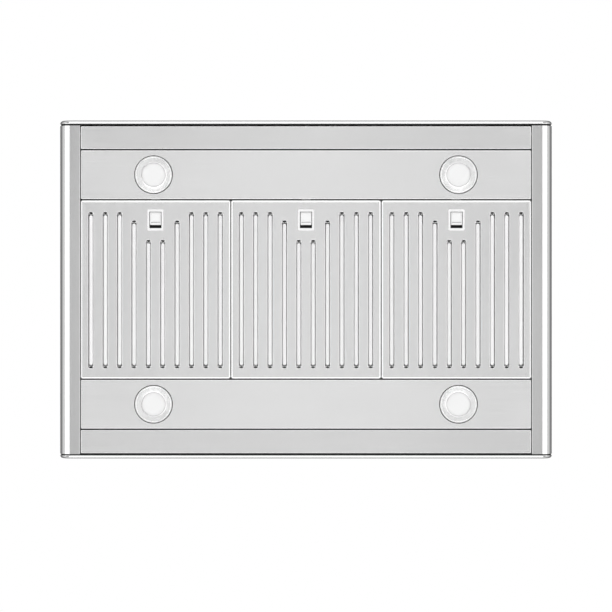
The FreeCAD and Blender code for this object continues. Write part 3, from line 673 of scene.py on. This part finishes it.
def slots_of(name):
    """Each slot of a filter as its middle line and its two ends."""
    low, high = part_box("filter_face_" + name)
    middle = (low.x + high.x) / 2
    slots = []
    for i in range(SLOT_PAIRS):
        front_end = low.y + SLOT_FRONT + SLOT_SHORTER.get(i, 0)
        for sign in (-1, 1):
            slots.append((middle + sign * SLOT_PITCH * (i + 0.5), front_end, high.y - SLOT_REAR))
    return slots


print("slots in a filter:", len(slots_of("middle")))

# %% Filter faces
FACE_SHEET = 0.9 * MM
FACE_BEND = 2.8 * MM
FACE_CORNER = 3.0 * MM
CREASE_FRONT = 3.4 * MM
CREASE_WIDE = 0.6 * MM
CREASE_END = 5 * MM
CREASE_DEPTH = 0.5 * MM
LATCH_MARGIN = 3.9 * MM
LATCH_WALL = 1.5 * MM
WINDOW_INSET = 1.6 * MM


def filter_face(name):
    """The slotted tray of one filter, with the window for its latch."""
    node = "filter_face_" + name
    low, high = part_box(node)
    bm = bmesh.new()
    outer = fold(bm, low.x, high.x, low.y, high.y, FACE_CORNER, low.z, FACE_BEND,
                 high.z - low.z)
    rings = [outer[0]]
    for x, front_end, rear_end in slots_of(name):
        rim = rolled_hole(bm, x - SLOT_HALF, x + SLOT_HALF, front_end, rear_end, SLOT_HALF,
                          low.z, SLOT_ROLL, SLOT_DEPTH)
        rings.append(rim[0])
    front = low.y + CREASE_FRONT
    crease = rolled_hole(bm, low.x + CREASE_END, high.x - CREASE_END, front, front + CREASE_WIDE,
                         CREASE_WIDE / 2, low.z, CREASE_WIDE / 2, CREASE_DEPTH, segments=8,
                         steps=2)
    flat_between(bm, [crease[-1]])
    rings.append(crease[0])
    plate_low, plate_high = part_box("latch_plate_" + name)
    inset = LATCH_MARGIN - LATCH_WALL
    rings.append(ring(bm, plate_low.x + WINDOW_INSET, plate_high.x - WINDOW_INSET,
                      plate_low.y + inset, plate_high.y - inset, 0.6 * MM, low.z))
    flat_between(bm, rings)
    finish_piece(bm, "filter_tray_" + name, "filter_" + name, filter_steel, node,
                 thickness=FACE_SHEET)


for name in FILTERS:
    filter_face(name)

# %% [markdown]
# ## Baffle troughs
#
# Behind each slot a trough is pressed into the filter's back sheet. Its flat lies a few
# millimetres behind the slot and ends short of it, so a dark crescent shows at each end,
# with a round vent behind it. Longer vents between the troughs, out of sight behind the
# lands, let the air through.

# %% Back sheets
BACK_SHEET = 0.5 * MM
BACK_INSET = 0.9 * MM
TROUGH_FLAT = 2.7 * MM
TROUGH_ROUND = 0.4 * MM
TROUGH_SPREAD = 2.6 * MM
TROUGH_DROP = 2.6 * MM
TROUGH_SETBACK = 4.8 * MM
END_SPREAD = 1.4 * MM
END_VENT = 2.9 * MM
VENT_HALF = 2.0 * MM
VENT_FRONT = 24 * MM
VENT_BESIDE_LATCH = 62 * MM
VENT_REAR = 24 * MM


def back_sheet(name):
    """The back sheet of one filter with its pressed troughs and vents."""
    node = "filter_baffles_" + name
    low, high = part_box(node)
    level = high.z - BACK_INSET
    bm = bmesh.new()
    rings = [ring(bm, low.x, high.x, low.y, high.y, 1 * MM, level)]
    flat = TROUGH_FLAT
    shoulder_flat = flat + TROUGH_ROUND
    for x, front_end, rear_end in slots_of(name):
        y0 = front_end + TROUGH_SETBACK
        y1 = rear_end - TROUGH_SETBACK
        base = ring(bm, x - flat - TROUGH_SPREAD, x + flat + TROUGH_SPREAD,
                    y0 - END_SPREAD, y1 + END_SPREAD, flat + END_SPREAD, level)
        shoulder = ring(bm, x - shoulder_flat, x + shoulder_flat, y0 - TROUGH_ROUND,
                        y1 + TROUGH_ROUND, shoulder_flat, level - TROUGH_DROP + 0.3 * MM)
        lip = ring(bm, x - flat, x + flat, y0, y1, flat, level - TROUGH_DROP)
        bridge(bm, [base, shoulder, lip])
        flat_between(bm, [lip])
        rings.append(base)
        for end in (front_end, rear_end):
            rings.append(ring(bm, x - END_VENT, x + END_VENT, end - END_VENT, end + END_VENT,
                              END_VENT, level, 16))
    middle = (low.x + high.x) / 2
    for i in range(1 - SLOT_PAIRS, SLOT_PAIRS):
        x = middle + i * SLOT_PITCH
        front_end = low.y + (VENT_BESIDE_LATCH if abs(i) < 2 else VENT_FRONT)
        rings.append(ring(bm, x - VENT_HALF, x + VENT_HALF, front_end, high.y - VENT_REAR,
                          VENT_HALF, level, 12))
    plate_low, plate_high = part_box("latch_plate_" + name)
    rings.append(ring(bm, plate_low.x, plate_high.x, plate_low.y, plate_high.y, 1 * MM, level))
    flat_between(bm, rings)
    finish_piece(bm, "baffle_sheet_" + name, "filter_" + name, baffle_steel, node,
                 thickness=BACK_SHEET)


for name in FILTERS:
    back_sheet(name)

# %% [markdown]
# ## Latches
#
# A white moulded plate frames a sliding finger pad. The pad is dished, with a groove and
# a lip at its rear, and behind the lip the plate is open, so the pad has room to slide
# back. That gap is closed by a near-black sheet, painted shadow that stands in for the
# shade inside the slot. Rings at growing depth make the plate's rounded edge and its window.

# %% Latch plates
LATCH_WINDOW = 9.3 * MM
PLATE_CORNER = 1.8 * MM
PLATE_BEND = 0.7 * MM
PAD_GAP = 0.1 * MM


def latch_plate(name):
    """The fixed plate round a latch pad."""
    node = "latch_plate_" + name
    low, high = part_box(node)
    middle = (low.x + high.x) / 2
    face_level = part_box("filter_face_" + name)[0].z
    bm = bmesh.new()
    outer = fold(bm, low.x, high.x, low.y, high.y, PLATE_CORNER, low.z, PLATE_BEND,
                 face_level - low.z, steps=3)
    x0, x1 = middle - LATCH_WINDOW, middle + LATCH_WINDOW
    y0, y1 = low.y + LATCH_MARGIN, high.y - LATCH_MARGIN
    window = rolled_hole(bm, x0, x1, y0, y1, 0.5 * MM, low.z, 0.35 * MM, high.z - low.z, steps=2)
    flat_between(bm, [outer[0], window[0]])
    wall = LATCH_WALL - PAD_GAP
    skirt_low = ring(bm, x0 - wall, x1 + wall, y0 - wall, y1 + wall, 0.8 * MM, face_level)
    skirt_high = ring(bm, x0 - wall, x1 + wall, y0 - wall, y1 + wall, 0.8 * MM, high.z)
    bridge(bm, [skirt_low, skirt_high])
    flat_between(bm, [skirt_high, window[-1]])
    flat_between(bm, [outer[-1], skirt_low])
    finish_piece(bm, "latch_frame_" + name, "filter_" + name, latch_white, node)


# %% Latch pads
PAD_LIP = 3.4 * MM
PAD_SHY = 0.8 * MM
PAD_EDGE = 1.3 * MM
PAD_CORNER = 0.8 * MM
DISH_DEPTH = 0.8 * MM
DISH_TO_LIP = 1.8 * MM
GROOVE_WIDE = 0.9 * MM
GROOVE_DEPTH = 2.4 * MM
TONGUE_HALF = 7 * MM
TONGUE_THICK = 1.8 * MM
TONGUE_UNDER = 2 * MM


def latch_slider(name):
    """The sliding pad with its finger lip, and the tongue that holds the filter up."""
    node = "latch_slider_" + name
    low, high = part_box(node)
    y0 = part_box("latch_plate_" + name)[0].y + LATCH_MARGIN + PAD_GAP
    pad_front, pad_rear = y0 + PAD_SHY, high.y - PAD_SHY
    bm = bmesh.new()
    x0, x1 = low.x + PAD_SHY, high.x - PAD_SHY
    outer = fold(bm, x0, x1, pad_front, pad_rear, PAD_CORNER, low.z, 0.4 * MM,
                 high.z - low.z, steps=2)
    lip = pad_rear - PAD_LIP
    x0, x1 = x0 + PAD_EDGE, x1 - PAD_EDGE
    dish = rolled_hole(bm, x0, x1, pad_front + PAD_EDGE, lip - DISH_TO_LIP, 1.0 * MM, low.z,
                       0.3 * MM, DISH_DEPTH, steps=2)
    groove = rolled_hole(bm, x0, x1, lip - GROOVE_WIDE, lip, 0.3 * MM, low.z, 0.1 * MM,
                         GROOVE_DEPTH, segments=8, steps=2)
    flat_between(bm, [outer[0], dish[0], groove[0]])
    for closed in (dish[-1], groove[-1], outer[-1]):
        flat_between(bm, [closed])
    middle = (low.x + high.x) / 2
    tongue = fold(bm, middle - TONGUE_HALF, middle + TONGUE_HALF, low.y, y0 + TONGUE_UNDER,
                  PAD_CORNER, high.z - TONGUE_THICK, 0.3 * MM, TONGUE_THICK, steps=2)
    flat_between(bm, [tongue[0]])
    flat_between(bm, [tongue[-1]])
    finish_piece(bm, "latch_pad_" + name, "latch_" + name, latch_white, node)


# %% Painted shadow sheets in the latches
SHADOW_SHEET_PAST = 0.5 * MM
SHADOW_SHEET_REACH = 9 * MM


def latch_painted_shadow(name):
    """A near-black sheet over the rear of the latch's window: painted shadow that the open slot
    shows.
    """
    plate_low, plate_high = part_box("latch_plate_" + name)
    middle = (plate_low.x + plate_high.x) / 2
    rear = plate_high.y - LATCH_MARGIN + SHADOW_SHEET_PAST
    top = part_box("latch_slider_" + name)[1].z + SHADOW_SHEET_PAST
    bm = bmesh.new()
    spots = [(plate_high.z, rear), (top, rear), (top, rear - SHADOW_SHEET_REACH)]
    chain = [bm.verts.new((middle - LATCH_WINDOW, y, z)) for z, y in spots]
    edges = [bm.edges.new(pair) for pair in zip(chain, chain[1:])]
    grown = bmesh.ops.extrude_edge_only(bm, edges=edges)
    moved = [g for g in grown["geom"] if isinstance(g, bmesh.types.BMVert)]
    bmesh.ops.translate(bm, verts=moved, vec=(LATCH_WINDOW * 2, 0, 0))
    # The sheet's near-black finish is painted shadow, standing in for the shade in the open slot.
    finish_piece(bm, "latch_painted_shadow_" + name, "filter_" + name, black_plastic_and_painted_shadow, (),
                 thickness=0.4 * MM)


for name in FILTERS:
    latch_plate(name)
    latch_slider(name)
    latch_painted_shadow(name)

# %% [markdown]
# ## Lights
#
# Each lamp is a round trim ring on a black seal, with a shallow dish and a milky
# diffuser. A turned part is a half profile spun round its axis, so each one is drawn as
# a chain of points in radius and height and spun once round.

# %% Spun pieces
def spun(points, centre, axis, steps=96):
    """A mesh from a chain of (radius, height) points spun round an axis through centre."""
    bm = bmesh.new()
    out = Vector((1, 0, 0))
    along = Vector(axis)
    chain = [bm.verts.new(Vector(centre) + out * r + along * h) for r, h in points]
    edges = [bm.edges.new(pair) for pair in zip(chain, chain[1:])]
    bmesh.ops.spin(bm, geom=chain + edges, cent=centre, axis=axis, angle=math.tau, steps=steps,
                   use_merge=True, use_duplicate=False)
    bmesh.ops.remove_doubles(bm, verts=bm.verts[:], dist=0.000001)
    return bm


# %% Lamps
SEAL = 1.3 * MM
SEAL_PROUD = 0.35 * MM
LENS_LIP = 18.7 * MM
TRIM_NECK = 3.6 * MM


def light(number):
    """The black seal, the trim ring and the diffuser of one lamp."""
    trim_low, trim_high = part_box("light_trim_" + str(number))
    centre = (trim_low + trim_high) / 2
    centre.z = 0
    reach = (trim_high.x - trim_low.x) / 2
    low, high = trim_low.z, trim_high.z
    face = panel_level
    seal_points = [(reach, face), (reach - 0.1 * MM, face - SEAL_PROUD),
                   (reach - SEAL, face - SEAL_PROUD), (reach - SEAL, face), (reach, face)]
    finish_piece(spun(seal_points, centre, (0, 0, 1)), "lamp_seal_" + str(number), "casing",
                 gasket_black, ())
    ring_points = [
        (reach - SEAL, face), (reach - SEAL, low + 0.3 * MM), (reach - 1.7 * MM, low),
        (reach - 3.0 * MM, low), (reach - 3.5 * MM, low + 0.2 * MM),
        (reach - 4.2 * MM, low + 1.0 * MM), (25.0 * MM, face - 0.55 * MM),
        (LENS_LIP + 1.2 * MM, face - 0.25 * MM), (LENS_LIP + 0.3 * MM, face),
        (LENS_LIP, face + 0.7 * MM), (LENS_LIP, high), (reach - TRIM_NECK, high),
        (reach - TRIM_NECK, face), (reach - SEAL, face),
    ]
    finish_piece(spun(ring_points, centre, (0, 0, 1)), "lamp_ring_" + str(number), "casing",
                 trim_metal, "light_trim_" + str(number))
    lens_low, lens_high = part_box("light_lens_" + str(number))
    rim = (lens_high.x - lens_low.x) / 2
    level = lens_low.z
    dome = [(0.0, level - 2.0 * MM), (9.0 * MM, level - 1.9 * MM), (14.0 * MM, level - 1.5 * MM),
            (17.0 * MM, level - 0.9 * MM), (LENS_LIP - 0.3 * MM, level), (rim, level),
            (rim, lens_high.z), (0.0, lens_high.z)]
    finish_piece(spun(dome, centre, (0, 0, 1)), "lamp_diffuser_" + str(number), "casing",
                 diffuser, "light_lens_" + str(number))


for number in LAMPS:
    light(number)

# %% [markdown]
# ## Push buttons
#
# The buttons are turned too, with a slightly hollow face for the finger and a flange
# behind the panel. A black bezel lines each hole and stands a little proud of it.

# %% Buttons and bezels
SHANK = 6.0 * MM
BEZEL_BORE = 6.15 * MM
BEZEL_PROUD = 0.25 * MM
BEZEL_DEPTH = 1.1 * MM
FLANGE_BACK, FLANGE_FRONT = 2.5 * MM, 1.3 * MM


def push_button(number):
    """One turned button and the bezel round it."""
    low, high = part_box("push_button_" + str(number))
    centre = Vector(((low.x + high.x) / 2, low.y, (low.z + high.z) / 2))
    flange = (high.x - low.x) / 2
    length = high.y - low.y
    points = [
        (0.0, 0.55 * MM), (2.6 * MM, 0.45 * MM), (4.8 * MM, 0.1 * MM), (5.2 * MM, 0.0),
        (5.7 * MM, 0.1 * MM), (SHANK, 0.4 * MM), (SHANK, FLANGE_FRONT), (flange, FLANGE_FRONT),
        (flange, FLANGE_BACK), (SHANK, FLANGE_BACK), (SHANK, length), (0.0, length),
    ]
    finish_piece(spun(points, centre, (0, 1, 0), 64), "button_" + str(number),
                 "push_button_" + str(number), button_steel,
                 "push_button_" + str(number))
    bezel = [
        (BEZEL_BORE, -BEZEL_PROUD), (7.4 * MM, -BEZEL_PROUD), (7.7 * MM, 0.0),
        (BUTTON_HOLE, 0.0), (BUTTON_HOLE, BEZEL_DEPTH), (BEZEL_BORE, BEZEL_DEPTH),
        (BEZEL_BORE, -BEZEL_PROUD),
    ]
    finish_piece(spun(bezel, centre, (0, 1, 0), 64), "button_bezel_" + str(number), "casing",
                 black_plastic_and_painted_shadow, ())


for number in BUTTONS:
    push_button(number)

# %% [markdown]
# ## Pieces that keep their CAD shape
#
# The blower and the wiring are hidden above the filters, and the collar and its damper
# stand on the top sheet. Their CAD shapes are already right, so they only need the
# finish of the real piece. What isn't listed here is galvanised sheet.

# %% Finishes for the rest
FINISHES = {
    "hinge_rod": bright_steel, "motor_shaft": bright_steel, "damper_pin": bright_steel,
    "collar_screws": bright_steel, "blower_wheel": wheel_metal, "motor_body": motor_black,
    "switch_block": black_plastic_and_painted_shadow, "control_board": board_green, "terminal_block": block_white,
    "led_driver": block_white, "capacitor": block_white,
}
for number in LAMPS:
    FINISHES["light_can_" + str(number)] = cast_aluminium
for name, node in nodes.items():
    node.data.materials.clear()
    node.data.materials.append(FINISHES.get(name, galvanised))
print("CAD pieces kept:", sum(not node.hide_render for node in nodes.values()))
